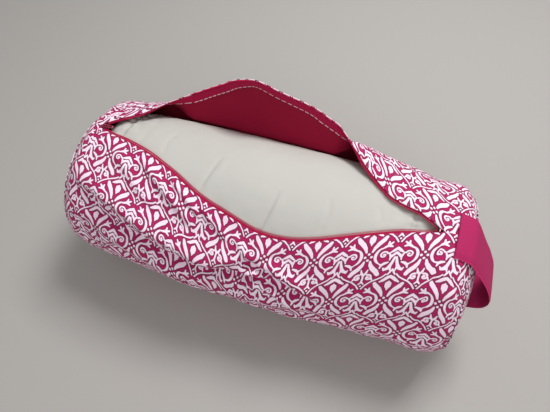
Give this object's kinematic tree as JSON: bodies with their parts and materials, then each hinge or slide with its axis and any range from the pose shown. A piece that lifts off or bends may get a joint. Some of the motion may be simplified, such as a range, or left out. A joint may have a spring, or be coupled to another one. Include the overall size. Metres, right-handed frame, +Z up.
{
  "type": "round yoga bolster",
  "caption": "Round stuffed bolster lying on its side in a loose damask cotton cover, zipped open along the top, with a strap handle on one end.",
  "frame": {"origin": "centre of the flat that the bolster rests on", "axes": "+X along the bolster towards the end with the handle, +Y away from the side that the front of the mouth has sunk to, +Z up"},
  "size_m": [0.6263, 0.2511, 0.2873],
  "materials": {
    "printed_cotton": "matte woven print",
    "crimson_lining": "matte plain weave",
    "natural_cotton": "matte plain weave",
    "stuffing": "loose fibre",
    "zip_tape": "matte woven tape",
    "zip_coil": "satin",
    "zip_metal": "painted satin",
    "strap_cotton": "matte plain weave"
  },
  "bodies": {
    "cover": {"cover_barrel": "printed_cotton", "cover_end_left": "printed_cotton", "cover_end_right": "printed_cotton", "lining_barrel": "crimson_lining", "lining_end_left": "crimson_lining", "lining_end_right": "crimson_lining", "insert_barrel": "natural_cotton", "insert_end_left": "natural_cotton", "insert_end_right": "natural_cotton", "insert_fill": "stuffing", "zip_tape_front": "zip_tape", "zip_tape_back_left": "zip_tape", "zip_tape_back_right": "zip_tape", "zip_coil_front": "zip_coil", "zip_coil_back_left": "zip_coil", "zip_coil_back_right": "zip_coil", "zip_stop_left": "zip_metal", "zip_stop_right": "zip_metal", "handle_sewn_top": "strap_cotton", "handle_sewn_bottom": "strap_cotton"},
    "flap": {"cover_flap": "printed_cotton", "lining_flap": "crimson_lining", "zip_tape_flap": "zip_tape", "zip_coil_flap": "zip_coil"},
    "slider": {"zip_slider": "zip_metal"},
    "pull_tab": {"zip_pull_tab": "zip_metal"},
    "strap": {"handle_grip": "strap_cotton", "handle_upper_run": "strap_cotton", "handle_lower_run": "strap_cotton"}
  },
  "joints": [
    {"name": "flap_fold", "type": "hinge", "parent": "cover", "child": "flap", "pos_m": [-0.0415, 0.09456, 0.18388], "axis": [1, 0, 0], "range_deg": [-105, 65]},
    {"name": "zip_slide", "type": "slide", "parent": "cover", "child": "slider", "axis": [0.9993, -0.0383, 0], "range_m": [0, 0.443]},
    {"name": "pull_tab_flip", "type": "hinge", "parent": "slider", "child": "pull_tab", "pos_m": [-0.241, 0.00303, 0.2315], "axis": [-0.0383, -0.9993, 0], "range_deg": [0, 170]},
    {"name": "strap_give", "type": "slide", "parent": "cover", "child": "strap", "axis": [1, 0, 0], "range_m": [-0.011, 0.002], "deforming": ["handle_upper_run", "handle_lower_run"]}
  ]
}
